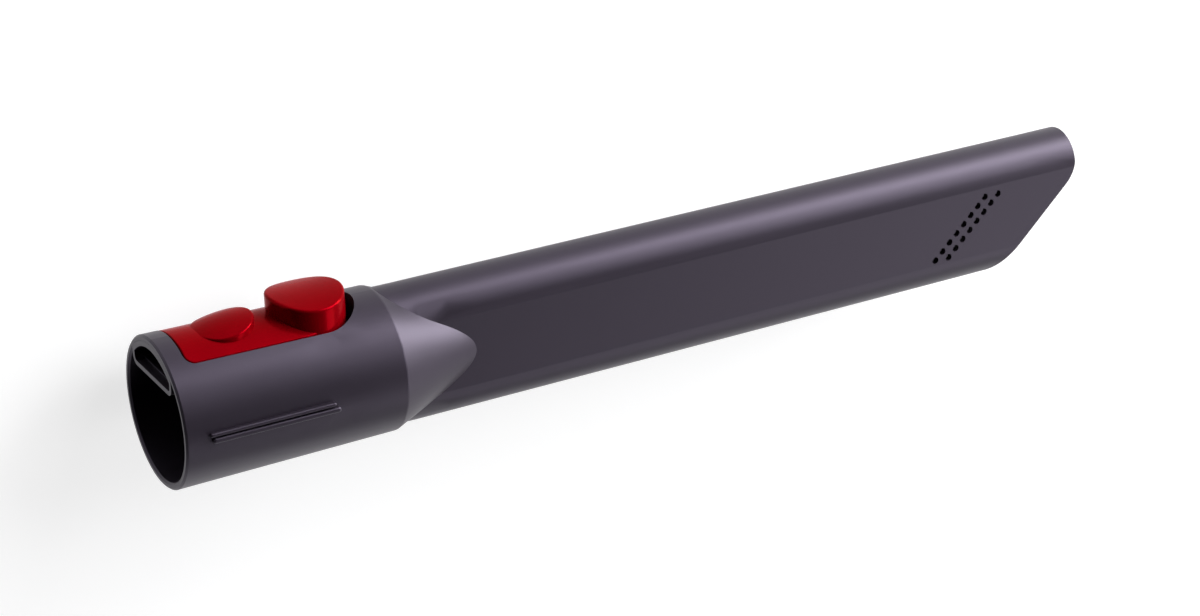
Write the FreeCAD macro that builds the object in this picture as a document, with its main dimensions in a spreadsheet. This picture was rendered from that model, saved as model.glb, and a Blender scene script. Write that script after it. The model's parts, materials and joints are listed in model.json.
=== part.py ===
import FreeCAD, Part
import math
import os

import Sketcher

V = FreeCAD.Vector
ORIGIN_INDEX = -1
CENTRE_INDEX = 3

# Driving dimensions in millimetres and degrees.
# The tool lies on its side: X runs from the mouth to the nose, +Y is the side that carries the latch,
# and +Z is across the flat of the blade. The origin is the centre of the round mouth.
DRIVING = {
    "tool_length": 264.2,
    "wall": 1.7,
    "collar_mouth_radius": 19.0,
    "collar_neck_radius": 18.35,
    "collar_length": 57.8,
    "mouth_chamfer": 0.5,
    "bore_radius": 17.2,
    "bore_end_radius": 16.8,
    "neck_length": 23.2,
    "collar_round": 1.0,
    "blade_neck_half_height": 18.15,
    "blade_neck_half_thickness": 8.7,
    "blade_tip_half_height": 17.75,
    "blade_tip_half_thickness": 8.3,
    "cut_angle": 43.5,
    "cut_axis_distance": 7.9,
    "nose_overrun": 3.0,
    "nose_cut_run": 69.6,
    "nose_cut_margin": 0.051,
    "nose_fillet": 9.2,
    "heel_fillet": 12.3,
    "vent_diameter": 1.9,
    "vent_pitch": 3.09,
    "vent_row_spacing": 4.27,
    "vent_count": 8,
    "vent_nose_distance": 25.7,
    "vent_top_height": 6.9,
    "slot_front": 4.8,
    "slot_half_width": 10.9,
    "slot_end_centre": 41.0,
    "slot_corner": 2.5,
    "bay_floor_height": 9.8,
    "bay_wall": 1.1,
    "bay_floor_thickness": 1.2,
    "bay_inner_corner": 1.0,
    "bay_outer_corner": 2.2,
    "mouth_band_radius": 16.3,
    "sill_distance": 2.2,
    "sill_height": 0.5,
    "rail_start": 5.9,
    "rail_end": 39.4,
    "rail_start_offset": 0.6,
    "rail_end_offset": 1.2,
    "upper_rail_rise": 0.4,
    "upper_rail_width": 1.0,
    "lower_rail_drop": 1.2,
    "lower_rail_width": 1.4,
    "rail_height": 1.1,
    "rail_round_share": 0.4,
    "pivot_distance": 27.0,
    "pivot_height": 12.2,
    "trunnion_radius": 1.25,
    "socket_depth": 1.2,
    "end_clearance": 0.25,
    "boss_half_length": 3.5,
    "boss_width": 1.4,
    "boss_wall": 0.8,
    "running_clearance": 0.08,
    "side_clearance": 0.4,
    "flush_depth": 0.1,
    "plate_edge": 0.3,
    "plate_end_centre": 36.0,
    "plate_thickness": 1.6,
    "skirt_wall": 1.4,
    "skirt_height": 12.5,
    "dome_centre": 18.35,
    "dome_radius": 7.75,
    "dome_crest": 24.8,
    "dome_top_height": 20.6,
    "dome_crown_radius": 17.6,
    "dome_bow_radius": 50.0,
    "dome_edge": 0.5,
    "dome_hollow_offset": 1.3,
    "button_centre": 40.0,
    "button_half_length": 9.5,
    "button_top_height": 22.7,
    "button_crown_radius": 32.0,
    "button_edge": 0.7,
    "button_skin": 2.4,
    "dome_skin": 2.4,
    "lug_radius": 1.8,
    "lug_thickness": 1.5,
    "tooth_front": 8.2,
    "tooth_length": 3.0,
    "tooth_half_width": 4.5,
    "tooth_height": 11.2,
    "tooth_ramp": 1.6,
    "tooth_ramp_rise": 2.4,
    "pad_length": 3.0,
    "pad_width": 1.6,
    "spring_centre": 41.0,
    "spring_diameter": 6.0,
    "spring_wire": 0.6,
    "spring_turns": 6.0,
    "post_height": 2.5,
    "peg_height": 2.0,
}


class Size:
    """A number together with the formula that ties it to the sheet."""

    def __init__(self, value, formula):
        self.value = float(value)
        self.formula = formula

    def __add__(self, other):
        other = as_size(other)
        return Size(self.value + other.value, "(%s + %s)" % (self.formula, other.formula))

    def __sub__(self, other):
        other = as_size(other)
        return Size(self.value - other.value, "(%s - %s)" % (self.formula, other.formula))

    def __mul__(self, other):
        other = as_size(other)
        return Size(self.value * other.value, "(%s * %s)" % (self.formula, other.formula))

    def __truediv__(self, other):
        other = as_size(other)
        return Size(self.value / other.value, "(%s / %s)" % (self.formula, other.formula))

    def __neg__(self):
        return Size(-self.value, "(0 - %s)" % self.formula)


def as_size(amount):
    if isinstance(amount, Size):
        return amount
    return Size(amount, repr(float(amount)))


def tangent(angle):
    return Size(math.tan(math.radians(angle.value)), "tan(%s * 1 deg)" % angle.formula)


def sine(angle):
    return Size(math.sin(math.radians(angle.value)), "sin(%s * 1 deg)" % angle.formula)


def cosine(angle):
    return Size(math.cos(math.radians(angle.value)), "cos(%s * 1 deg)" % angle.formula)


def make_sheet(doc):
    """Writes the driving dimensions into the sheet and returns it."""
    sheet = doc.addObject("Spreadsheet::Sheet", "sizes")
    for row, (name, amount) in enumerate(DRIVING.items(), start=1):
        sheet.set("A%d" % row, name)
        sheet.set("B%d" % row, repr(amount))
        sheet.setAlias("B%d" % row, name)
    doc.recompute()
    return sheet


doc = FreeCAD.newDocument("crevice_tool")
sheet = make_sheet(doc)


def size(name):
    return Size(sheet.get(name), "sizes.%s" % name)


def bind(item, path, amount):
    item.setExpression(path, as_size(amount).formula)


def place(item, x=0.0, y=0.0, z=0.0, rotation=None):
    """Places a primitive, with its position tied to the sheet."""
    x, y, z = as_size(x), as_size(y), as_size(z)
    item.Placement = FreeCAD.Placement(V(x.value, y.value, z.value), rotation or FreeCAD.Rotation())
    bind(item, "Placement.Base.x", x)
    bind(item, "Placement.Base.y", y)
    bind(item, "Placement.Base.z", z)


ALONG_X = FreeCAD.Rotation(V(0, 1, 0), 90)
ALONG_Y = FreeCAD.Rotation(V(1, 0, 0), -90)


def cylinder(name, radius, length, x, y, z, rotation=None):
    item = doc.addObject("Part::Cylinder", name)
    bind(item, "Radius", radius)
    bind(item, "Height", length)
    place(item, x, y, z, rotation)
    return item


def cone(name, start_radius, end_radius, length):
    """A cone about the tool's axis that starts at the mouth."""
    item = doc.addObject("Part::Cone", name)
    bind(item, "Radius1", start_radius)
    bind(item, "Radius2", end_radius)
    bind(item, "Height", length)
    place(item, rotation=ALONG_X)
    return item


def box(name, low, high):
    """A box between two corners."""
    item = doc.addObject("Part::Box", name)
    low = [as_size(amount) for amount in low]
    high = [as_size(amount) for amount in high]
    bind(item, "Length", high[0] - low[0])
    bind(item, "Width", high[1] - low[1])
    bind(item, "Height", high[2] - low[2])
    place(item, low[0], low[1], low[2])
    return item


def fuse(name, shapes):
    item = doc.addObject("Part::MultiFuse", name)
    item.Shapes = shapes
    item.Refine = True
    return item


def common(name, shapes):
    item = doc.addObject("Part::MultiCommon", name)
    item.Shapes = shapes
    return item


def cut(name, base, tool):
    item = doc.addObject("Part::Cut", name)
    item.Base = base
    item.Tool = tool
    item.Refine = True
    return item


def new_body(name):
    return doc.addObject("PartDesign::Body", name)


def new_sketch(body, name, role, level=None, along=None):
    """A sketch on one of the body's own origin planes, raised off it by level."""
    plane = [item for item in body.Origin.OriginFeatures if item.Role == role][0]
    sketch = body.newObject("Sketcher::SketchObject", name)
    sketch.AttachmentSupport = [(plane, "")]
    sketch.MapMode = "FlatFace"
    if level is not None:
        bind(sketch, "AttachmentOffset.Base.z", level)
    if along is not None:
        bind(sketch, "AttachmentOffset.Base.x", along)
    return sketch


def turn(sketch, angle):
    """Turns a sketch in its own plane, about its own origin."""
    rotation = FreeCAD.Rotation(V(0, 0, 1), angle.value)
    sketch.AttachmentOffset = FreeCAD.Placement(sketch.AttachmentOffset.Base, rotation)
    bind(sketch, "AttachmentOffset.Rotation.Angle", angle)


def tie(sketch, kind, geometry, point, amount):
    """Holds a point of the sketch at a distance from the sketch's origin."""
    amount = as_size(amount)
    if amount.value == 0.0:
        axis = -2 if kind == "DistanceX" else -1
        sketch.addConstraint(Sketcher.Constraint("PointOnObject", geometry, point, axis))
        return
    index = sketch.addConstraint(Sketcher.Constraint(kind, ORIGIN_INDEX, 1, geometry, point, amount.value))
    sketch.setExpression("Constraints[%d]" % index, amount.formula)


def draw_polygon(sketch, corners):
    """A closed outline of straight sides."""
    corners = [(as_size(x), as_size(y)) for x, y in corners]
    points = [V(x.value, y.value, 0) for x, y in corners]
    lines = []
    for start, end in zip(points, points[1:] + points[:1]):
        lines.append(sketch.addGeometry(Part.LineSegment(start, end), False))
    for line, following in zip(lines, lines[1:] + lines[:1]):
        sketch.addConstraint(Sketcher.Constraint("Coincident", line, 2, following, 1))
    for line, (x, y) in zip(lines, corners):
        tie(sketch, "DistanceX", line, 1, x)
        tie(sketch, "DistanceY", line, 1, y)


def draw_circle(sketch, x, y, radius):
    x, y, radius = as_size(x), as_size(y), as_size(radius)
    shape = Part.Circle(V(x.value, y.value, 0), V(0, 0, 1), radius.value)
    circle = sketch.addGeometry(shape, False)
    tie(sketch, "DistanceX", circle, CENTRE_INDEX, x)
    tie(sketch, "DistanceY", circle, CENTRE_INDEX, y)
    index = sketch.addConstraint(Sketcher.Constraint("Radius", circle, radius.value))
    sketch.setExpression("Constraints[%d]" % index, radius.formula)


def draw_stadium(sketch, half_length, half_width):
    """Two straight sides and two round ends, centred, with its length along the sketch's first axis."""
    reach = half_length - half_width
    c, r = reach.value, half_width.value
    quarter = math.pi / 2
    right = sketch.addGeometry(
        Part.ArcOfCircle(Part.Circle(V(c, 0, 0), V(0, 0, 1), r), -quarter, quarter), False)
    upper = sketch.addGeometry(Part.LineSegment(V(c, r, 0), V(-c, r, 0)), False)
    left = sketch.addGeometry(
        Part.ArcOfCircle(Part.Circle(V(-c, 0, 0), V(0, 0, 1), r), quarter, 3 * quarter), False)
    lower = sketch.addGeometry(Part.LineSegment(V(-c, -r, 0), V(c, -r, 0)), False)
    for first, second in ((right, upper), (upper, left), (left, lower), (lower, right)):
        sketch.addConstraint(Sketcher.Constraint("Tangent", first, 2, second, 1))
    sketch.addConstraint(Sketcher.Constraint("Equal", right, left))
    for arc, centre in ((right, reach), (left, -reach)):
        sketch.addConstraint(Sketcher.Constraint("PointOnObject", arc, CENTRE_INDEX, -1))
        tie(sketch, "DistanceX", arc, CENTRE_INDEX, centre)
    index = sketch.addConstraint(Sketcher.Constraint("Radius", right, r))
    sketch.setExpression("Constraints[%d]" % index, half_width.formula)


def draw_tongue(sketch, front, end_centre, half_width):
    """A square front, two straight sides and one round end."""
    a, c, w = front.value, end_centre.value, half_width.value
    quarter = math.pi / 2
    near = sketch.addGeometry(Part.LineSegment(V(a, -w, 0), V(c, -w, 0)), False)
    end = sketch.addGeometry(
        Part.ArcOfCircle(Part.Circle(V(c, 0, 0), V(0, 0, 1), w), -quarter, quarter), False)
    far = sketch.addGeometry(Part.LineSegment(V(c, w, 0), V(a, w, 0)), False)
    face = sketch.addGeometry(Part.LineSegment(V(a, w, 0), V(a, -w, 0)), False)
    sketch.addConstraint(Sketcher.Constraint("Tangent", near, 2, end, 1))
    sketch.addConstraint(Sketcher.Constraint("Tangent", end, 2, far, 1))
    sketch.addConstraint(Sketcher.Constraint("Coincident", far, 2, face, 1))
    sketch.addConstraint(Sketcher.Constraint("Coincident", face, 2, near, 1))
    sketch.addConstraint(Sketcher.Constraint("Vertical", face))
    sketch.addConstraint(Sketcher.Constraint("Horizontal", near))
    sketch.addConstraint(Sketcher.Constraint("Horizontal", far))
    sketch.addConstraint(Sketcher.Constraint("PointOnObject", end, CENTRE_INDEX, -1))
    tie(sketch, "DistanceX", end, CENTRE_INDEX, end_centre)
    tie(sketch, "DistanceX", face, 1, front)
    index = sketch.addConstraint(Sketcher.Constraint("Radius", end, w))
    sketch.setExpression("Constraints[%d]" % index, half_width.formula)


def draw_bow(sketch, half_length, rise, radius):
    """A shallow arc over a straight base that lies on the sketch's first axis, with upright ends."""
    reach, top, r = half_length.value, rise.value, radius.value
    centre_y = top - r
    end_y = centre_y + math.sqrt(r ** 2 - reach ** 2)
    lean = math.asin(reach / r)
    base = sketch.addGeometry(Part.LineSegment(V(-reach, 0, 0), V(reach, 0, 0)), False)
    right = sketch.addGeometry(Part.LineSegment(V(reach, 0, 0), V(reach, end_y, 0)), False)
    arc = sketch.addGeometry(
        Part.ArcOfCircle(
            Part.Circle(V(0, centre_y, 0), V(0, 0, 1), r), math.pi / 2 - lean, math.pi / 2 + lean),
        False)
    left = sketch.addGeometry(Part.LineSegment(V(-reach, end_y, 0), V(-reach, 0, 0)), False)
    for first, second in ((base, right), (right, arc), (arc, left), (left, base)):
        sketch.addConstraint(Sketcher.Constraint("Coincident", first, 2, second, 1))
    sketch.addConstraint(Sketcher.Constraint("Vertical", right))
    sketch.addConstraint(Sketcher.Constraint("Vertical", left))
    tie(sketch, "DistanceX", base, 1, -half_length)
    tie(sketch, "DistanceY", base, 1, 0)
    tie(sketch, "DistanceX", base, 2, half_length)
    tie(sketch, "DistanceY", base, 2, 0)
    tie(sketch, "DistanceX", arc, CENTRE_INDEX, 0)
    index = sketch.addConstraint(Sketcher.Constraint("Radius", arc, r))
    sketch.setExpression("Constraints[%d]" % index, radius.formula)
    tie(sketch, "DistanceY", arc, CENTRE_INDEX, rise - radius)


def pad(body, sketch, name, length, midplane=False, reverse=False):
    item = body.newObject("PartDesign::Pad", name)
    item.Profile = sketch
    item.Length = length.value
    bind(item, "Length", length)
    item.Midplane = midplane
    item.Reversed = reverse
    return item


def revolve(body, sketch, name, axis="H_Axis"):
    item = body.newObject("PartDesign::Revolution", name)
    item.Profile = sketch
    item.ReferenceAxis = (sketch, [axis])
    item.Angle = 360.0
    return item


def tongue_prism(name, front, end_centre, half_width, bottom, top):
    """A tongue outline carried up from one height to another."""
    body = new_body(name)
    sketch = new_sketch(body, name + "_outline", "XZ_Plane", level=-bottom)
    draw_tongue(sketch, front, end_centre, half_width)
    pad(body, sketch, name + "_pad", top - bottom, reverse=True)
    doc.recompute()
    return body


def edges_where(shape, test):
    return [index for index, edge in enumerate(shape.Edges, start=1) if test(edge)]


def round_edges(body, name, radius, test):
    """Rounds the edges of a body that pass the test."""
    base = body.Tip
    found = edges_where(base.Shape, test)
    item = body.newObject("PartDesign::Fillet", name)
    item.Base = (base, ["Edge%d" % index for index in found])
    item.Radius = radius.value
    bind(item, "Radius", radius)
    doc.recompute()
    return item


def round_shape(base, name, radius, test):
    """Rounds the edges of a boolean result that pass the test."""
    item = doc.addObject("Part::Fillet", name)
    item.Base = base
    item.Edges = [(index, radius, radius) for index in edges_where(base.Shape, test)]
    doc.recompute()
    return item


def is_upright(edge):
    """True for a straight edge that runs along Y."""
    box_of = edge.BoundBox
    return box_of.XLength < NEAR and box_of.ZLength < NEAR


def is_across(edge):
    """True for a straight edge that runs along Z."""
    box_of = edge.BoundBox
    return box_of.XLength < NEAR and box_of.YLength < NEAR


def is_round(edge, radius):
    """True for an edge that is a circle, or part of one, of this radius."""
    return edge.Curve.TypeId == "Part::GeomCircle" and abs(edge.Curve.Radius - radius.value) < NEAR


LENGTH = size("tool_length")
WALL = size("wall")
COLLAR_LENGTH = size("collar_length")
NECK_LENGTH = size("neck_length")
NECK_RADIUS = size("collar_neck_radius")
MOUTH_RADIUS = size("collar_mouth_radius")
BORE_RADIUS = size("bore_radius")
NECK_HEIGHT = size("blade_neck_half_height")
NECK_THICKNESS = size("blade_neck_half_thickness")
TIP_HEIGHT = size("blade_tip_half_height")
TIP_THICKNESS = size("blade_tip_half_thickness")
SLOT_WIDTH = size("slot_half_width")
SLOT_FRONT = size("slot_front")
SLOT_END = size("slot_end_centre")
BAY_FLOOR = size("bay_floor_height")
BAY_WALL = size("bay_wall")
SIDE_CLEARANCE = size("side_clearance")
LATCH_WIDTH = SLOT_WIDTH - SIDE_CLEARANCE
LATCH_FRONT = SLOT_FRONT + SIDE_CLEARANCE
PIVOT_X = size("pivot_distance")
PIVOT_Y = size("pivot_height")
SOCKET_END = SLOT_WIDTH + size("socket_depth")
BUTTON_X = size("button_centre")
SPRING_X = size("spring_centre")
SPRING_CEILING = size("button_top_height") - size("button_skin")
PEG_RADIUS = size("spring_diameter") / 2 - size("spring_wire") - SIDE_CLEARANCE
ABOVE = MOUTH_RADIUS * 1.5
BITE = SIDE_CLEARANCE
BUTTON_INSET = SIDE_CLEARANCE / 3
NEAR = 0.01
CONE_SLOPE = (NECK_RADIUS - NECK_THICKNESS) / NECK_LENGTH
CONE_OVERRUN = WALL * 2
NOSE_END = LENGTH + size("nose_overrun")


def loft(body, kind, name, sections):
    item = body.newObject(kind, name)
    item.Profile = sections[0]
    item.Sections = sections[1:]
    item.Ruled = True
    return item


def stadium_section(body, name, station, half_height, half_thickness):
    sketch = new_sketch(body, name, "YZ_Plane", level=station)
    draw_stadium(sketch, half_height, half_thickness)
    return sketch


def outer_form():
    """The outside: a drafted round collar, a cone down to the flat, and the long flat blade."""
    body = new_body("outer_form")
    chamfer = size("mouth_chamfer")
    cone_end = COLLAR_LENGTH + NECK_LENGTH + CONE_OVERRUN
    sketch = new_sketch(body, "collar_outline", "XY_Plane")
    draw_polygon(sketch, [
        (0, 0),
        (cone_end, 0),
        (cone_end, NECK_THICKNESS - CONE_SLOPE * CONE_OVERRUN),
        (COLLAR_LENGTH, NECK_RADIUS),
        (chamfer, MOUTH_RADIUS),
        (0, MOUTH_RADIUS - chamfer),
    ])
    revolve(body, sketch, "collar_turn")
    root = stadium_section(body, "blade_root", COLLAR_LENGTH, NECK_HEIGHT, NECK_THICKNESS)
    tip = stadium_section(body, "blade_tip", NOSE_END, TIP_HEIGHT, TIP_THICKNESS)
    loft(body, "PartDesign::AdditiveLoft", "blade_loft", [root, tip])
    doc.recompute()
    collar_end = COLLAR_LENGTH.value
    round_edges(body, "collar_blend", size("collar_round"), lambda edge: (
        abs(edge.BoundBox.XMin - collar_end) < NEAR
        and abs(edge.BoundBox.XMax - collar_end) < NEAR
        and is_round(edge, NECK_RADIUS)))
    return body


def duct_form():
    """The air path: a drafted bore, a cone parallel to the outer one, and the inside of the blade."""
    body = new_body("duct_form")
    chamfer = size("mouth_chamfer")
    slant = Size(
        math.sqrt(1 + CONE_SLOPE.value ** 2),
        "sqrt(1 + %s ^ 2)" % CONE_SLOPE.formula)
    bore_end = size("bore_end_radius")
    crease_radius = NECK_RADIUS - WALL * slant
    bore_length = COLLAR_LENGTH - (bore_end - crease_radius) / CONE_SLOPE
    cone_reach = NECK_LENGTH + CONE_OVERRUN
    lead = chamfer * 2
    sketch = new_sketch(body, "bore_outline", "XY_Plane")
    draw_polygon(sketch, [
        (-lead, 0),
        (COLLAR_LENGTH + cone_reach, 0),
        (COLLAR_LENGTH + cone_reach, crease_radius - CONE_SLOPE * cone_reach),
        (bore_length, bore_end),
        (chamfer, BORE_RADIUS),
        (-lead, BORE_RADIUS + chamfer + lead),
    ])
    revolve(body, sketch, "bore_turn")
    root = stadium_section(
        body, "duct_root", COLLAR_LENGTH, NECK_HEIGHT - WALL, NECK_THICKNESS - WALL)
    tip = stadium_section(body, "duct_tip", NOSE_END, TIP_HEIGHT - WALL, TIP_THICKNESS - WALL)
    loft(body, "PartDesign::AdditiveLoft", "duct_loft", [root, tip])
    doc.recompute()
    return body


def nose_cutter():
    """What is taken off the end: below a slanted cut that turns into a short blunt nose."""
    body = new_body("nose_cutter")
    slope = tangent(size("cut_angle"))
    axis_x = LENGTH - size("cut_axis_distance")
    taper = (NECK_HEIGHT - TIP_HEIGHT) / (LENGTH - COLLAR_LENGTH)
    margin = size("nose_cut_margin")
    heel_y = TIP_HEIGHT + taper * (size("cut_axis_distance") + TIP_HEIGHT / slope) + margin
    heel_x = axis_x - heel_y / slope
    start_run = size("nose_cut_run")
    start_y = TIP_HEIGHT + taper * start_run + margin
    sketch = new_sketch(body, "nose_outline", "XY_Plane")
    draw_polygon(sketch, [
        (LENGTH - start_run, -start_y),
        (heel_x, -heel_y),
        (LENGTH, slope * size("cut_axis_distance")),
        (LENGTH, ABOVE),
        (LENGTH + ABOVE, ABOVE),
        (LENGTH + ABOVE, -ABOVE),
        (LENGTH - start_run, -ABOVE),
    ])
    pad(body, sketch, "nose_pad", MOUTH_RADIUS * 2, midplane=True)
    doc.recompute()
    corner_y = (slope * size("cut_axis_distance")).value
    round_edges(body, "nose_round", size("nose_fillet"), lambda edge: (
        is_across(edge)
        and abs(edge.BoundBox.XMin - LENGTH.value) < NEAR
        and abs(edge.BoundBox.YMin - corner_y) < NEAR))
    round_edges(body, "heel_round", size("heel_fillet"), lambda edge: (
        is_across(edge)
        and abs(edge.BoundBox.XMin - heel_x.value) < NEAR
        and abs(edge.BoundBox.YMin + heel_y.value) < NEAR))
    return body


def latch_tray():
    """The thin-walled bay under the slot, hung from the top of the bore, with its two pivot bosses."""
    bottom = BAY_FLOOR - size("bay_floor_thickness")
    half_width = SLOT_WIDTH + BAY_WALL
    tray = tongue_prism("tray_form", Size(0, "0"), SLOT_END, half_width, bottom, MOUTH_RADIUS)
    low = bottom.value + NEAR
    round_edges(tray, "tray_round", size("bay_outer_corner"), lambda edge: (
        edge.BoundBox.YMax < low and edge.BoundBox.XMax > NEAR))
    half_length = size("boss_half_length")
    boss_bottom = PIVOT_Y - size("trunnion_radius") - size("boss_wall")
    boss_out = half_width + size("boss_width")
    bosses = []
    for side, inner, outer in (("near", SLOT_WIDTH + BITE, boss_out), ("far", -boss_out, -SLOT_WIDTH - BITE)):
        bosses.append(box(
            "boss_" + side,
            (PIVOT_X - half_length, boss_bottom, inner),
            (PIVOT_X + half_length, MOUTH_RADIUS, outer)))
    whole = fuse("tray_whole", [tray] + bosses)
    limit = cylinder(
        "tray_limit", BORE_RADIUS + WALL / 4, COLLAR_LENGTH, 0, 0, 0, ALONG_X)
    return common("tray_trimmed", [whole, limit])


def latch_bay():
    """The space for the latch: the mouth channel, the bay behind it and the slot above."""
    lead = size("mouth_chamfer") * 2
    under = tongue_prism("bay_form", -lead, SLOT_END, SLOT_WIDTH, BAY_FLOOR, MOUTH_RADIUS + lead)
    low = BAY_FLOOR.value + NEAR
    round_edges(under, "bay_round", size("bay_inner_corner"), lambda edge: (
        edge.BoundBox.YMax < low and edge.BoundBox.XMax > NEAR))
    limit = cylinder(
        "bay_limit", size("mouth_band_radius"), COLLAR_LENGTH, -lead, 0, 0, ALONG_X)
    under_trimmed = common("bay_trimmed", [under, limit])
    slot = tongue_prism("slot_form", SLOT_FRONT, SLOT_END, SLOT_WIDTH, BAY_FLOOR + WALL, ABOVE)
    round_edges(slot, "slot_round", size("slot_corner"), lambda edge: (
        is_upright(edge) and edge.BoundBox.XMin < SLOT_FRONT.value + NEAR))
    return [under_trimmed, slot]


def trunnion_sockets():
    radius = size("trunnion_radius") + size("running_clearance")
    depth = size("socket_depth") + BITE
    near = cylinder("socket_near", radius, depth, PIVOT_X, PIVOT_Y, SLOT_WIDTH - BITE)
    far = cylinder("socket_far", radius, depth, PIVOT_X, PIVOT_Y, -SOCKET_END)
    return [near, far]


def vents():
    """Two slanted rows of bleed holes, parallel to the nose cut, through both flats."""
    body = new_body("vents")
    angle = size("cut_angle")
    sketch = new_sketch(body, "vent_outline", "XY_Plane", along=LENGTH - size("vent_nose_distance"))
    bind(sketch, "AttachmentOffset.Base.y", size("vent_top_height"))
    turn(sketch, angle)
    radius = size("vent_diameter") / 2
    step = size("vent_row_spacing")
    draw_circle(sketch, 0, 0, radius)
    draw_circle(sketch, -(step * cosine(angle)), step * sine(angle), radius)
    holes = pad(body, sketch, "vent_pad", MOUTH_RADIUS * 2, midplane=True)
    doc.recompute()
    rows = body.newObject("PartDesign::LinearPattern", "vent_rows")
    rows.Originals = [holes]
    rows.Direction = (sketch, ["H_Axis"])
    rows.Reversed = True
    bind(rows, "Occurrences", size("vent_count"))
    bind(rows, "Length", size("vent_pitch") * (size("vent_count") - 1))
    body.Tip = rows
    doc.recompute()
    return body


def rail(name, rise, start, end, width):
    """A thin rounded guide ridge on each side of the collar, at a height above its middle."""
    middle = (start + end) / 2
    draft = (MOUTH_RADIUS - NECK_RADIUS) / COLLAR_LENGTH
    foot = NECK_RADIUS - WALL / 2
    top = MOUTH_RADIUS - draft * middle + size("rail_height")
    body = new_body(name)
    sketch = new_sketch(body, name + "_outline", "XY_Plane", level=foot, along=middle)
    bind(sketch, "AttachmentOffset.Base.y", rise)
    draw_stadium(sketch, (end - start) / 2, width / 2)
    pad(body, sketch, name + "_pad", top - foot)
    doc.recompute()
    round_edges(body, name + "_round", width * size("rail_round_share"), lambda edge: (
        edge.BoundBox.ZMin > top.value - NEAR))
    far = doc.addObject("Part::Mirroring", name + "_far")
    far.Source = body
    far.Normal = V(0, 0, 1)
    return [body, far]


def rails():
    """The pair of ridges: a slim upper one and a wider lower one that starts and ends further back."""
    start, end = size("rail_start"), size("rail_end")
    upper_end = end - size("rail_end_offset")
    lower_start = start + size("rail_start_offset")
    upper = rail("upper_rail", size("upper_rail_rise"), start, upper_end, size("upper_rail_width"))
    lower = rail("lower_rail", -size("lower_rail_drop"), lower_start, end, size("lower_rail_width"))
    return upper + lower


def bay_fittings():
    """What stands on the tray floor: the sill across the mouth, the spring post and the latch's rest pads."""
    sill_start = size("sill_distance")
    floor_bite = BAY_FLOOR - BITE
    reach = SLOT_WIDTH + BITE
    fittings = [
        box(
            "sill",
            (sill_start, floor_bite, -reach),
            (sill_start + size("sill_height"), BAY_FLOOR + size("sill_height"), reach)),
        cylinder(
            "spring_post", PEG_RADIUS, size("post_height") + BITE, SPRING_X, floor_bite, 0, ALONG_Y),
    ]
    pad_start = LATCH_FRONT + size("skirt_wall")
    pad_end = pad_start + size("pad_length")
    pad_top = size("skirt_height") - SIDE_CLEARANCE
    pad_in = SLOT_WIDTH - size("pad_width")
    for side, inner, outer in (("near", pad_in, reach), ("far", -reach, -pad_in)):
        fittings.append(box(
            "rest_pad_" + side, (pad_start, floor_bite, inner), (pad_end, pad_top, outer)))
    return fittings


def nozzle_body():
    """The whole grey moulding."""
    shell = cut("shell", outer_form(), duct_form())
    nosed = cut("shell_nosed", shell, nose_cutter())
    solid = fuse("shell_with_tray", [nosed, latch_tray()] + rails())
    doc.recompute()
    spaces = fuse("spaces", latch_bay() + trunnion_sockets() + [vents()])
    opened = cut("shell_opened", solid, spaces)
    return fuse("nozzle_body", [opened] + bay_fittings())


def collar_cone(name, depth):
    """The collar's drafted surface, sunk by a depth."""
    return cone(name, MOUTH_RADIUS - depth, NECK_RADIUS - depth, COLLAR_LENGTH)


def latch_plate():
    """The curved plate with its skirt, almost flush with the collar, its upper edges slightly rounded."""
    skirt_height = size("skirt_height")
    block = tongue_prism(
        "plate_block", LATCH_FRONT, size("plate_end_centre"), LATCH_WIDTH, skirt_height, ABOVE)
    round_edges(block, "plate_round", size("slot_corner") - SIDE_CLEARANCE, lambda edge: (
        is_upright(edge) and edge.BoundBox.XMin < LATCH_FRONT.value + NEAR))
    raw = common("plate_raw", [block, collar_cone("plate_surface", size("flush_depth"))])
    doc.recompute()
    low = (skirt_height + WALL / 2).value
    return round_shape(raw, "plate", size("plate_edge").value, lambda edge: (
        edge.BoundBox.YMin > low))


def latch_dome():
    """The low round finger dome: a round column under a bowed crown that falls towards the mouth."""
    crown = size("dome_crown_radius")
    radius = size("dome_radius")
    foot = size("skirt_height") + WALL
    reach = radius * 2
    body = new_body("dome_crown")
    sketch = new_sketch(body, "dome_bow", "XY_Plane", along=size("dome_crest"))
    bind(sketch, "AttachmentOffset.Base.y", size("dome_top_height") - crown)
    draw_bow(sketch, reach, crown, size("dome_bow_radius"))
    revolve(body, sketch, "dome_turn")
    doc.recompute()
    column = cylinder(
        "dome_column", radius, ABOVE - foot, size("dome_centre"), foot, 0, ALONG_Y)
    raw = common("dome_raw", [column, body])
    doc.recompute()
    return round_shape(raw, "dome", size("dome_edge").value, lambda edge: (
        edge.BoundBox.YMin > foot.value + NEAR))


def button_column(name, inset, foot, top):
    """The column of the push button, a little wider than it is long."""
    outline = doc.addObject("Part::Ellipse", name + "_outline")
    bind(outline, "MajorRadius", LATCH_WIDTH - BUTTON_INSET - inset)
    bind(outline, "MinorRadius", size("button_half_length") - inset)
    place(outline, BUTTON_X, foot, 0, FreeCAD.Rotation(V(0, 0, -1), V(1, 0, 0), V(0, 1, 0)))
    doc.recompute()
    column = doc.addObject("Part::Extrusion", name + "_column")
    column.Base = outline
    column.Dir = V(0, 1, 0)
    column.DirMode = "Custom"
    column.Solid = True
    bind(column, "LengthFwd", top - foot)
    doc.recompute()
    return column


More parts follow.
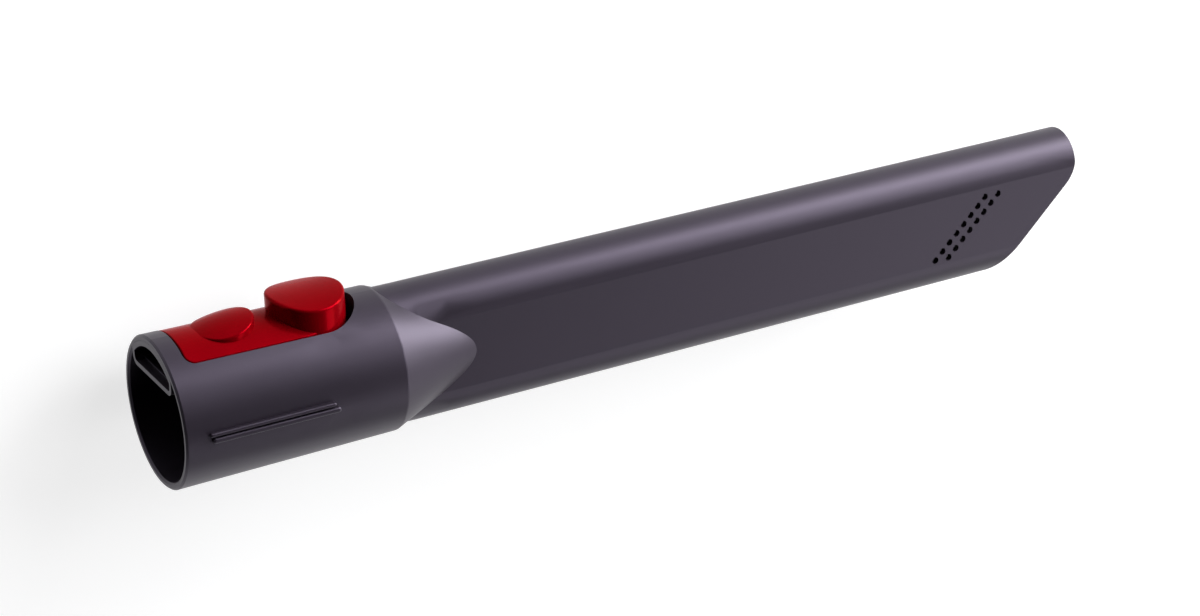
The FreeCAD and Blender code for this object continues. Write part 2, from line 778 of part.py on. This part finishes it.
def latch_button():
    """The tall push button with its crowned top."""
    column = button_column("button", Size(0, "0"), size("skirt_height"), ABOVE)
    crown = size("button_crown_radius")
    reach = MOUTH_RADIUS
    barrel = cylinder(
        "button_crown", crown, reach * 2, BUTTON_X - reach,
        size("button_top_height") - crown, 0, ALONG_X)
    raw = common("button_crowned", [column, barrel])
    doc.recompute()
    rim = SPRING_CEILING.value
    return round_shape(raw, "button", size("button_edge").value, lambda edge: (
        edge.BoundBox.YMin > rim))


def latch_hollows():
    """The spaces under the plate, the dome and the button."""
    skirt = size("skirt_wall")
    below = size("skirt_height") - WALL
    block = tongue_prism(
        "plate_hollow_block", LATCH_FRONT + skirt, size("plate_end_centre"), LATCH_WIDTH - skirt,
        below, ABOVE)
    depth = size("flush_depth") + size("plate_thickness")
    plate_hollow = common("plate_hollow", [block, collar_cone("plate_underside", depth)])
    dome_ceiling = size("dome_top_height") - size("dome_skin")
    dome_offset = size("dome_hollow_offset")
    dome_hollow = cylinder(
        "dome_hollow", size("dome_radius") - skirt - dome_offset, dome_ceiling - below,
        size("dome_centre") + dome_offset, below, 0, ALONG_Y)
    return [plate_hollow, dome_hollow, button_column("button_hollow", skirt, below, SPRING_CEILING)]


def latch_pivots():
    """A lug and a trunnion on each side of the latch."""
    radius = size("lug_radius")
    thickness = size("lug_thickness")
    top = size("skirt_height") + WALL
    tip = SOCKET_END - size("end_clearance")
    pieces = []
    for side, lug_in, pin_in in (
            ("near", LATCH_WIDTH - thickness, LATCH_WIDTH - thickness / 2),
            ("far", -LATCH_WIDTH, -tip)):
        pieces.append(box(
            "lug_" + side,
            (PIVOT_X - radius, PIVOT_Y, lug_in),
            (PIVOT_X + radius, top, lug_in + thickness)))
        pieces.append(cylinder("lug_end_" + side, radius, thickness, PIVOT_X, PIVOT_Y, lug_in))
        pieces.append(cylinder(
            "trunnion_" + side, size("trunnion_radius"), tip - LATCH_WIDTH + thickness / 2,
            PIVOT_X, PIVOT_Y, pin_in))
    return pieces


def catch_tooth():
    """The ramped tooth that drops into the mating tube's catch."""
    body = new_body("catch_tooth")
    front = size("tooth_front")
    rear = front + size("tooth_length")
    low = size("tooth_height")
    ramp_end = front + size("tooth_ramp")
    ramp_top = low + size("tooth_ramp_rise")
    root = MOUTH_RADIUS - size("plate_thickness")
    sketch = new_sketch(body, "tooth_outline", "XY_Plane")
    draw_polygon(sketch, [
        (front, root), (front, ramp_top), (ramp_end, low), (rear, low), (rear, root)])
    pad(body, sketch, "tooth_pad", size("tooth_half_width") * 2, midplane=True)
    doc.recompute()
    return body


def release_latch():
    """The whole red moulding."""
    outside = fuse("latch_outside", [latch_plate(), latch_dome(), latch_button()])
    hollow = cut("latch_hollow", outside, fuse("latch_spaces", latch_hollows()))
    peg = cylinder(
        "spring_peg", PEG_RADIUS, size("peg_height") + BITE, SPRING_X,
        SPRING_CEILING - size("peg_height"), 0, ALONG_Y)
    return fuse("release_latch", [hollow, catch_tooth(), peg] + latch_pivots())


def return_spring():
    """The steel coil between the tray floor and the underside of the button."""
    body = new_body("return_spring")
    wire = size("spring_wire")
    radius = (size("spring_diameter") - wire) / 2
    seat = size("running_clearance")
    start = BAY_FLOOR + seat + wire / 2
    rise = SPRING_CEILING - seat - wire / 2 - start
    sketch = new_sketch(body, "wire_section", "XY_Plane", along=SPRING_X)
    draw_circle(sketch, radius, start, wire / 2)
    coil = body.newObject("PartDesign::AdditiveHelix", "coil")
    coil.Profile = sketch
    coil.ReferenceAxis = (sketch, ["V_Axis"])
    coil.Mode = "height-turns-angle"
    bind(coil, "Height", rise)
    bind(coil, "Turns", size("spring_turns"))
    doc.recompute()
    return body


def check_document(pieces):
    for item in doc.Objects:
        if "Invalid" in item.State or "Error" in item.State:
            raise RuntimeError("%s failed: %s" % (item.Name, item.State))
    for piece in pieces:
        if piece.Shape.isNull() or not piece.Shape.isValid():
            raise RuntimeError("%s has no valid shape" % piece.Name)
        if len(piece.Shape.Solids) != 1:
            raise RuntimeError("%s has %d solids" % (piece.Name, len(piece.Shape.Solids)))


def main():
    pieces = [nozzle_body(), release_latch(), return_spring()]
    doc.recompute()
    check_document(pieces)
    os.makedirs("parts", exist_ok=True)
    for piece in pieces:
        piece.Label = piece.Name
        piece.Shape.exportStep("parts/%s.step" % piece.Label)
        extent = piece.Shape.BoundBox
        print("%s %.1f mm3, X %.2f..%.2f Y %.2f..%.2f Z %.2f..%.2f" % (
            piece.Label, piece.Shape.Volume, extent.XMin, extent.XMax,
            extent.YMin, extent.YMax, extent.ZMin, extent.ZMax))


main()
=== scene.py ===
import json
import math

import bpy
from mathutils import Matrix, Vector

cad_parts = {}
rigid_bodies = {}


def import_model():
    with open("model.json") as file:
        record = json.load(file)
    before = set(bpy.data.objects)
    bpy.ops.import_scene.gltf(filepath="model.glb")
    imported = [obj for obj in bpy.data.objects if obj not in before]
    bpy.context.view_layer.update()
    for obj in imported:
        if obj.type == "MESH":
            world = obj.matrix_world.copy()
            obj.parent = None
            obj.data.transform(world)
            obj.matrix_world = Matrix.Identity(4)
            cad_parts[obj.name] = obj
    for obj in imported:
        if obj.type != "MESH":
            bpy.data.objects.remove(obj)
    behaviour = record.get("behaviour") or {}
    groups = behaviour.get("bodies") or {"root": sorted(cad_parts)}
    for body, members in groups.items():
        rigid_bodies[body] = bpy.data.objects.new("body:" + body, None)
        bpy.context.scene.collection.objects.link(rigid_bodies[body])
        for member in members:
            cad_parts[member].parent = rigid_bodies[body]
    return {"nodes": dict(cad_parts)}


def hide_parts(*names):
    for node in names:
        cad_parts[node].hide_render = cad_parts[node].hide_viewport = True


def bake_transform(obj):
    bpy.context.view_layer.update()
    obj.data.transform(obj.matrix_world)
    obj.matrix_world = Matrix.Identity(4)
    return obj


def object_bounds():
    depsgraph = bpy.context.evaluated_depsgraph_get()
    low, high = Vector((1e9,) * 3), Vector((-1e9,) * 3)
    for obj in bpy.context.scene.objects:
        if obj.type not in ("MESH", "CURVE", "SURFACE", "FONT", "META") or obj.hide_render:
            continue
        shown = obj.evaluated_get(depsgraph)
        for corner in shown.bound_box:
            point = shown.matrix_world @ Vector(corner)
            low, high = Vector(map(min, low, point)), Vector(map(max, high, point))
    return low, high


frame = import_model()
cad_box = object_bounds()

bl_info = {
    "name": "Crevice tool",
    "version": (1, 0, 0),
    "blender": (4, 5, 0),
    "location": "3D View > Sidebar > Crevice tool",
    "description": "Finishes a long flat suction nozzle with a release latch and sets it on a studio floor",
    "category": "Object",
}

WELD = 0.000001
SMOOTH_UNDER = math.radians(40.0)

# How far a finish strays from its set values, as factors of a colour and as steps of roughness.
GREY_SHADES = (0.94, 1.06)
RED_SHADES = (0.95, 1.05)
STEEL_SHADES = (0.85, 1.1)
MOULDED_SPREAD = 0.03
DRAWN_SPREAD = 0.08
TINT_FROM, TINT_TO = 0.3, 0.7

# Sizes of the patterns in metres.
GREY_CLOUD_SIZE = 0.03
RED_CLOUD_SIZE = 0.008
WIRE_MARK_SIZE = 0.0004

FLOOR_SIZE = 6.0
FLOOR_GAP = 0.00002
FLOOR_ROUGHNESS = 0.9
WHITE_UNDER, DIM_OVER = math.radians(3.0), math.radians(14.0)

SENSOR_WIDTH = 36.0
NEAR_CLIP = 0.01
CAMERA_PLACE = (-0.2248, 0.3162, 0.6312)
CAMERA_RIGHT = (0.8715, -0.0252, 0.4898)
CAMERA_UP = (0.2181, 0.9144, -0.3410)

# The point that the lamps stand round, and the width and height of their soft boxes in metres.
MIDDLE = (0.12, 0.0, 0.0)
WIDE_BOX = (0.9, 0.6)
SLIM_BOX = (0.75, 0.42)

# Each soft box: name, azimuth and elevation in degrees, width and height, share of the lamp power.
LAMPS = (
    ("far_low_middle", 30.0, 9.0, SLIM_BOX, 1.0),
    ("far_low_nose", 5.0, 9.0, SLIM_BOX, 0.378),
    ("far_low_latch", 55.0, 9.0, SLIM_BOX, 0.167),
    ("far_middle", 30.0, 24.0, SLIM_BOX, 0.394),
    ("far_latch", 55.0, 24.0, SLIM_BOX, 0.667),
    ("far_high", 30.0, 42.0, SLIM_BOX, 0.45),
    ("near_low", 315.0, 15.0, WIDE_BOX, 0.067),
    ("near_low_nose", 340.0, 15.0, WIDE_BOX, 0.041),
    ("near_nose", 340.0, 38.0, WIDE_BOX, 0.158),
    ("near_mouth", 290.0, 38.0, WIDE_BOX, 0.056),
    ("near_middle", 315.0, 38.0, WIDE_BOX, 0.214),
    ("side_low", 262.0, 14.0, SLIM_BOX, 0.2),
)


class NozzlePlastic(bpy.types.PropertyGroup):
    """The grey moulding."""

    colour: bpy.props.FloatVectorProperty(
        name="Colour", description="Colour of the moulded grey plastic",
        subtype="COLOR", size=3, min=0.0, max=1.0, default=(0.0125, 0.0095, 0.0145))
    highlight: bpy.props.FloatVectorProperty(
        name="Highlight", description="Colour that the surface gives to what it mirrors head-on",
        subtype="COLOR", size=3, min=0.0, max=1.0, default=(0.85, 0.73, 1.0))
    gloss: bpy.props.FloatProperty(
        name="Gloss", description="How strongly the satin finish mirrors its surroundings",
        subtype="FACTOR", min=0.0, max=1.0, default=0.47)
    roughness: bpy.props.FloatProperty(
        name="Roughness", description="How far the satin finish spreads a highlight",
        subtype="FACTOR", min=0.0, max=1.0, default=0.42)
    grain_size: bpy.props.FloatProperty(
        name="Grain size", description="Distance between the peaks of the moulded grain",
        subtype="DISTANCE", unit="LENGTH", min=0.00005, max=0.005, default=0.00035)
    grain_depth: bpy.props.FloatProperty(
        name="Grain depth", description="Height of the moulded grain",
        subtype="DISTANCE", unit="LENGTH", min=0.0, max=0.0005, default=0.00001)


class LatchPlastic(bpy.types.PropertyGroup):
    """The red moulding."""

    colour: bpy.props.FloatVectorProperty(
        name="Colour", description="Colour of the polished red plastic",
        subtype="COLOR", size=3, min=0.0, max=1.0, default=(0.215, 0.0, 0.003))
    highlight: bpy.props.FloatVectorProperty(
        name="Highlight", description="Colour that the surface gives to what it mirrors head-on",
        subtype="COLOR", size=3, min=0.0, max=1.0, default=(1.0, 0.09, 0.16))
    gloss: bpy.props.FloatProperty(
        name="Gloss", description="How strongly the polish mirrors its surroundings",
        subtype="FACTOR", min=0.0, max=1.0, default=0.02)
    own_gloss: bpy.props.FloatProperty(
        name="Red gloss", description="Share of the polish that mirrors its surroundings in its own red",
        subtype="FACTOR", min=0.0, max=1.0, default=0.3)
    roughness: bpy.props.FloatProperty(
        name="Roughness", description="How far the polish spreads a highlight",
        subtype="FACTOR", min=0.0, max=1.0, default=0.18)
    ripple_size: bpy.props.FloatProperty(
        name="Ripple size", description="Distance between the faint waves of the moulded surface",
        subtype="DISTANCE", unit="LENGTH", min=0.0005, max=0.02, default=0.004)
    ripple_depth: bpy.props.FloatProperty(
        name="Ripple depth", description="Height of the faint waves",
        subtype="DISTANCE", unit="LENGTH", min=0.0, max=0.0005, default=0.000006)


class SpringWire(bpy.types.PropertyGroup):
    """The steel coil."""

    colour: bpy.props.FloatVectorProperty(
        name="Colour", description="Colour of the drawn wire",
        subtype="COLOR", size=3, min=0.0, max=1.0, default=(0.36, 0.36, 0.37))
    roughness: bpy.props.FloatProperty(
        name="Roughness", description="How far the drawn wire spreads a highlight",
        subtype="FACTOR", min=0.0, max=1.0, default=0.32)


class Studio(bpy.types.PropertyGroup):
    """The floor, the lamps and the camera."""

    lens: bpy.props.FloatProperty(
        name="Lens", description="Focal length of the camera on a 36 mm sensor",
        subtype="DISTANCE_CAMERA", unit="CAMERA", min=10.0, max=300.0, default=92.82)
    ambient: bpy.props.FloatProperty(
        name="Ambient level", description="How strongly the surroundings light the tool",
        min=0.0, max=2.0, default=0.0)
    lamp_power: bpy.props.FloatProperty(
        name="Lamp power", description="Power of the brightest soft lamp, which the others follow",
        subtype="POWER", unit="POWER", min=0.0, max=200.0, default=13.83)
    lamp_distance: bpy.props.FloatProperty(
        name="Lamp distance", description="How far the soft lamps stand from the tool",
        subtype="DISTANCE", unit="LENGTH", min=0.5, max=5.0, default=1.3)
    floor_lift: bpy.props.FloatProperty(
        name="Floor lift", description="How far the floor is raised towards white where it is seen",
        subtype="FACTOR", min=0.0, max=1.0, default=0.72)
    floor_colour: bpy.props.FloatVectorProperty(
        name="Floor", description="Colour of the plain floor",
        subtype="COLOR", size=3, min=0.0, max=1.0, default=(0.42, 0.42, 0.425))


def deselect_all():
    """Leaves edit mode and selects nothing, so that the next operator acts on its own piece."""
    if bpy.context.object and bpy.context.object.mode != "OBJECT":
        bpy.ops.object.mode_set(mode="OBJECT")
    bpy.ops.object.select_all(action="DESELECT")


def finish_in(piece, material):
    """Gives the whole piece one material."""
    piece.data.materials.clear()
    piece.data.materials.append(material)


def new_material(name):
    """A material with its node tree and its shader, ready for more nodes."""
    material = bpy.data.materials.new(name)
    material.use_nodes = True
    tree = material.node_tree
    return material, tree, tree.nodes["Principled BSDF"]


def pattern_place(tree):
    """Where a pattern sits: fixed to the piece, in its own metres."""
    place = tree.nodes.new("ShaderNodeTexCoord")
    place.location = (-1200, 0)
    return place


def noise(tree, place, size, detail, at):
    """Soft random patches about as large as size, finer with more detail."""
    texture = tree.nodes.new("ShaderNodeTexNoise")
    texture.location = at
    texture.inputs["Scale"].default_value = 1.0 / size
    texture.inputs["Detail"].default_value = detail
    tree.links.new(place.outputs["Object"], texture.inputs["Vector"])
    return texture


def vary_roughness(tree, shader, pattern, roughness, step, at):
    """Lets the roughness stray by a step up and down with a pattern."""
    ramp = tree.nodes.new("ShaderNodeMapRange")
    ramp.location = at
    ramp.inputs["To Min"].default_value = roughness - step
    ramp.inputs["To Max"].default_value = roughness + step
    tree.links.new(pattern.outputs["Fac"], ramp.inputs["Value"])
    tree.links.new(ramp.outputs["Result"], shader.inputs["Roughness"])


def vary_colour(tree, shader, pattern, colour, shades, at):
    """Lets the colour go from a darker to a lighter shade with a pattern."""
    ramp = tree.nodes.new("ShaderNodeValToRGB")
    ramp.location = at
    for element, stop, factor in zip(ramp.color_ramp.elements, (TINT_FROM, TINT_TO), shades):
        element.position = stop
        element.color = (*(channel * factor for channel in colour), 1.0)
    tree.links.new(pattern.outputs["Fac"], ramp.inputs["Fac"])
    tree.links.new(ramp.outputs["Color"], shader.inputs["Base Color"])


def raise_relief(tree, shader, pattern, depth, at):
    """Gives the surface hills as high as depth where the pattern is light."""
    bump = tree.nodes.new("ShaderNodeBump")
    bump.location = at
    bump.inputs["Strength"].default_value = 1.0
    bump.inputs["Distance"].default_value = depth
    tree.links.new(pattern.outputs["Fac"], bump.inputs["Height"])
    tree.links.new(bump.outputs["Normal"], shader.inputs["Normal"])


def moulded_plastic(
        name, settings, cloud_size, cloud_detail, shades, relief_size, relief_detail, relief_depth):
    """Plastic with faint flow clouds in its colour and gloss, and the relief of its mould."""
    material, tree, shader = new_material(name)
    place = pattern_place(tree)
    relief = noise(tree, place, relief_size, relief_detail, (-900, -300))
    clouds = noise(tree, place, cloud_size, cloud_detail, (-900, 200))
    vary_colour(tree, shader, clouds, settings.colour, shades, (-500, 200))
    vary_roughness(tree, shader, clouds, settings.roughness, MOULDED_SPREAD, (-500, -50))
    raise_relief(tree, shader, relief, relief_depth, (-500, -300))
    shader.inputs["Specular IOR Level"].default_value = settings.gloss
    shader.inputs["Specular Tint"].default_value = (*settings.highlight, 1.0)
    return material


def grained_grey_plastic(settings):
    """Dark grey plastic with a fine spark-eroded grain and faint flow clouds."""
    return moulded_plastic(
        "grained_grey_plastic", settings, cloud_size=GREY_CLOUD_SIZE, cloud_detail=3.0, shades=GREY_SHADES,
        relief_size=settings.grain_size, relief_detail=2.0, relief_depth=settings.grain_depth)


def polished_red_plastic(settings):
    """Deep red polished plastic with the faint waves of its mould."""
    material = moulded_plastic(
        "polished_red_plastic", settings, cloud_size=RED_CLOUD_SIZE, cloud_detail=2.0, shades=RED_SHADES,
        relief_size=settings.ripple_size, relief_detail=1.0, relief_depth=settings.ripple_depth)
    shader = material.node_tree.nodes["Principled BSDF"]
    shader.inputs["Metallic"].default_value = settings.own_gloss
    return material


def drawn_steel(settings):
    """Spring wire with fine marks of the drawing die."""
    material, tree, shader = new_material("drawn_steel")
    marks = noise(tree, pattern_place(tree), WIRE_MARK_SIZE, 3.0, (-900, 0))
    vary_roughness(tree, shader, marks, settings.roughness, DRAWN_SPREAD, (-500, 0))
    vary_colour(tree, shader, marks, settings.colour, STEEL_SHADES, (-500, 250))
    shader.inputs["Metallic"].default_value = 1.0
    return material


class CREVICE_OT_nozzle(bpy.types.Operator):
    """Finishes the grey nozzle moulding"""

    bl_idname = "crevice.nozzle"
    bl_label = "Nozzle"

    def execute(self, context):
        finish_in(frame["nodes"]["nozzle_body"], grained_grey_plastic(context.scene.nozzle_plastic))
        return {"FINISHED"}


class CREVICE_OT_latch(bpy.types.Operator):
    """Finishes the red release latch"""

    bl_idname = "crevice.latch"
    bl_label = "Release latch"

    def execute(self, context):
        finish_in(frame["nodes"]["release_latch"], polished_red_plastic(context.scene.latch_plastic))
        return {"FINISHED"}


def own_copy(node, name):
    """A smooth copy of a carried-over node with its own welded mesh, free of the node's body."""
    deselect_all()
    node.select_set(True)
    bpy.context.view_layer.objects.active = node
    bpy.ops.object.duplicate(linked=False)
    piece = bpy.context.object
    piece.name = name
    piece.data.name = name
    bpy.ops.object.parent_clear(type="CLEAR_KEEP_TRANSFORM")
    for key in list(piece.keys()):
        if key.startswith("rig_"):
            del piece[key]
    bpy.ops.object.mode_set(mode="EDIT")
    bpy.ops.mesh.select_all(action="SELECT")
    bpy.ops.mesh.remove_doubles(threshold=WELD)
    bpy.ops.object.mode_set(mode="OBJECT")
    bpy.ops.object.shade_smooth_by_angle(angle=SMOOTH_UNDER)
    return piece


class CREVICE_OT_spring(bpy.types.Operator):
    """Finishes the steel return spring as a smooth welded copy in drawn steel, and hides the carried-over
    coil
    """

    bl_idname = "crevice.spring"
    bl_label = "Return spring"

    def execute(self, context):
        coil = own_copy(frame["nodes"]["return_spring"], "return_coil")
        finish_in(coil, drawn_steel(context.scene.spring_wire))
        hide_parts("return_spring")
        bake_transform(coil)
        return {"FINISHED"}


def floor_finish(settings):
    """A plain pale floor that keeps the tool's shadow and looks white to the camera."""
    material, tree, shader = new_material("studio_floor")
    shader.inputs["Base Color"].default_value = (*settings.floor_colour, 1.0)
    shader.inputs["Roughness"].default_value = FLOOR_ROUGHNESS
    shader.inputs["Specular IOR Level"].default_value = 0.0
    seen = seen_directly(tree, (-700, -300))
    lift = tree.nodes.new("ShaderNodeMath")
    lift.operation = "MULTIPLY"
    lift.location = (-400, -300)
    lift.inputs[1].default_value = settings.floor_lift
    tree.links.new(seen, lift.inputs[0])
    shader.inputs["Emission Color"].default_value = (1.0, 1.0, 1.0, 1.0)
    tree.links.new(lift.outputs[0], shader.inputs["Emission Strength"])
    return material


def seen_directly(tree, at):
    """1 for what the camera sees, also in a reflection or through glass, and 0 for the rest."""
    path = tree.nodes.new("ShaderNodeLightPath")
    path.location = at
    source = path.outputs["Is Camera Ray"]
    for name in ("Is Glossy Ray", "Is Transmission Ray"):
        both = tree.nodes.new("ShaderNodeMath")
        both.operation = "MAXIMUM"
        both.location = (at[0] + 180, at[1])
        tree.links.new(source, both.inputs[0])
        tree.links.new(path.outputs[name], both.inputs[1])
        source = both.outputs[0]
    return source


def light_surroundings(settings):
    """Surroundings that are white near the horizon, behind the floor, and dimmer overhead."""
    world = bpy.data.worlds.new("studio")
    bpy.context.scene.world = world
    world.use_nodes = True
    tree = world.node_tree
    background = tree.nodes["Background"]
    background.inputs["Color"].default_value = (1.0, 1.0, 1.0, 1.0)
    place = tree.nodes.new("ShaderNodeTexCoord")
    place.location = (-1000, 0)
    height = tree.nodes.new("ShaderNodeSeparateXYZ")
    height.location = (-800, 0)
    tree.links.new(place.outputs["Generated"], height.inputs["Vector"])
    level = tree.nodes.new("ShaderNodeMapRange")
    level.location = (-500, 0)
    level.interpolation_type = "SMOOTHSTEP"
    level.inputs["From Min"].default_value = math.sin(WHITE_UNDER)
    level.inputs["From Max"].default_value = math.sin(DIM_OVER)
    level.inputs["To Min"].default_value = 1.0
    level.inputs["To Max"].default_value = settings.ambient
    tree.links.new(height.outputs["Z"], level.inputs["Value"])
    tree.links.new(level.outputs["Result"], background.inputs["Strength"])


def soft_lamp(settings, name, azimuth, elevation, box, share):
    """A soft box that faces the middle of the tool from a direction in degrees."""
    data = bpy.data.lights.new(name, "AREA")
    data.shape = "RECTANGLE"
    data.size, data.size_y = box
    data.energy = settings.lamp_power * share
    lamp = bpy.data.objects.new(name, data)
    bpy.context.scene.collection.objects.link(lamp)
    turn, rise = math.radians(azimuth), math.radians(elevation)
    away = Vector((math.cos(turn) * math.cos(rise), math.sin(turn) * math.cos(rise), math.sin(rise)))
    lamp.location = Vector(MIDDLE) + away * settings.lamp_distance
    lamp.rotation_euler = (-away).to_track_quat("-Z", "Y").to_euler()


def set_camera(settings):
    """The camera, turned so that CAMERA_RIGHT and CAMERA_UP lie along the sides of the picture."""
    data = bpy.data.cameras.new("camera")
    data.sensor_width = SENSOR_WIDTH
    data.lens = settings.lens
    data.clip_start = NEAR_CLIP
    camera = bpy.data.objects.new("camera", data)
    bpy.context.scene.collection.objects.link(camera)
    right = Vector(CAMERA_RIGHT)
    up = Vector(CAMERA_UP)
    back = right.cross(up).normalized()
    up = back.cross(right).normalized()
    turn = Matrix((right.normalized(), up, back)).transposed().to_4x4()
    camera.matrix_world = Matrix.Translation(Vector(CAMERA_PLACE)) @ turn
    bpy.context.scene.camera = camera


class CREVICE_OT_stage(bpy.types.Operator):
    """Sets the floor, the lamps and the camera"""

    bl_idname = "crevice.stage"
    bl_label = "Studio"

    def execute(self, context):
        settings = context.scene.studio
        low, high = cad_box
        deselect_all()
        middle = (Vector(low) + Vector(high)) / 2
        under = (middle.x, middle.y, low[2] - FLOOR_GAP)
        bpy.ops.mesh.primitive_plane_add(size=FLOOR_SIZE, location=under)
        floor = context.object
        floor.name = "studio_floor"
        bpy.ops.object.transform_apply(location=True, rotation=False, scale=False)
        finish_in(floor, floor_finish(settings))
        light_surroundings(settings)
        for lamp in LAMPS:
            soft_lamp(settings, *lamp)
        set_camera(settings)
        context.scene.view_settings.view_transform = "Standard"
        return {"FINISHED"}


class CREVICE_PT_panel(bpy.types.Panel):
    """Lists the tool's pieces and their finishes"""

    bl_idname = "CREVICE_PT_panel"
    bl_label = "Crevice tool"
    bl_space_type = "VIEW_3D"
    bl_region_type = "UI"
    bl_category = "Crevice tool"

    def draw(self, context):
        layout = self.layout
        for group, operator in SECTIONS:
            settings = getattr(context.scene, group)
            column = layout.column(align=True)
            column.operator(operator)
            for name in settings.__annotations__:
                column.prop(settings, name)


SECTIONS = (
    ("nozzle_plastic", "crevice.nozzle"),
    ("latch_plastic", "crevice.latch"),
    ("spring_wire", "crevice.spring"),
    ("studio", "crevice.stage"),
)
GROUPS = {
    "nozzle_plastic": NozzlePlastic,
    "latch_plastic": LatchPlastic,
    "spring_wire": SpringWire,
    "studio": Studio,
}
OPERATORS = (CREVICE_OT_nozzle, CREVICE_OT_latch, CREVICE_OT_spring, CREVICE_OT_stage)


def register():
    for group in GROUPS.values():
        bpy.utils.register_class(group)
    for name, group in GROUPS.items():
        setattr(bpy.types.Scene, name, bpy.props.PointerProperty(type=group))
    for operator in OPERATORS:
        bpy.utils.register_class(operator)
    bpy.utils.register_class(CREVICE_PT_panel)


def unregister():
    bpy.utils.unregister_class(CREVICE_PT_panel)
    for operator in reversed(OPERATORS):
        bpy.utils.unregister_class(operator)
    for name, group in reversed(list(GROUPS.items())):
        delattr(bpy.types.Scene, name)
        bpy.utils.unregister_class(group)


def main():
    register()
    bpy.ops.crevice.nozzle()
    bpy.ops.crevice.latch()
    bpy.ops.crevice.spring()
    bpy.ops.crevice.stage()


if __name__ == "__main__":
    main()
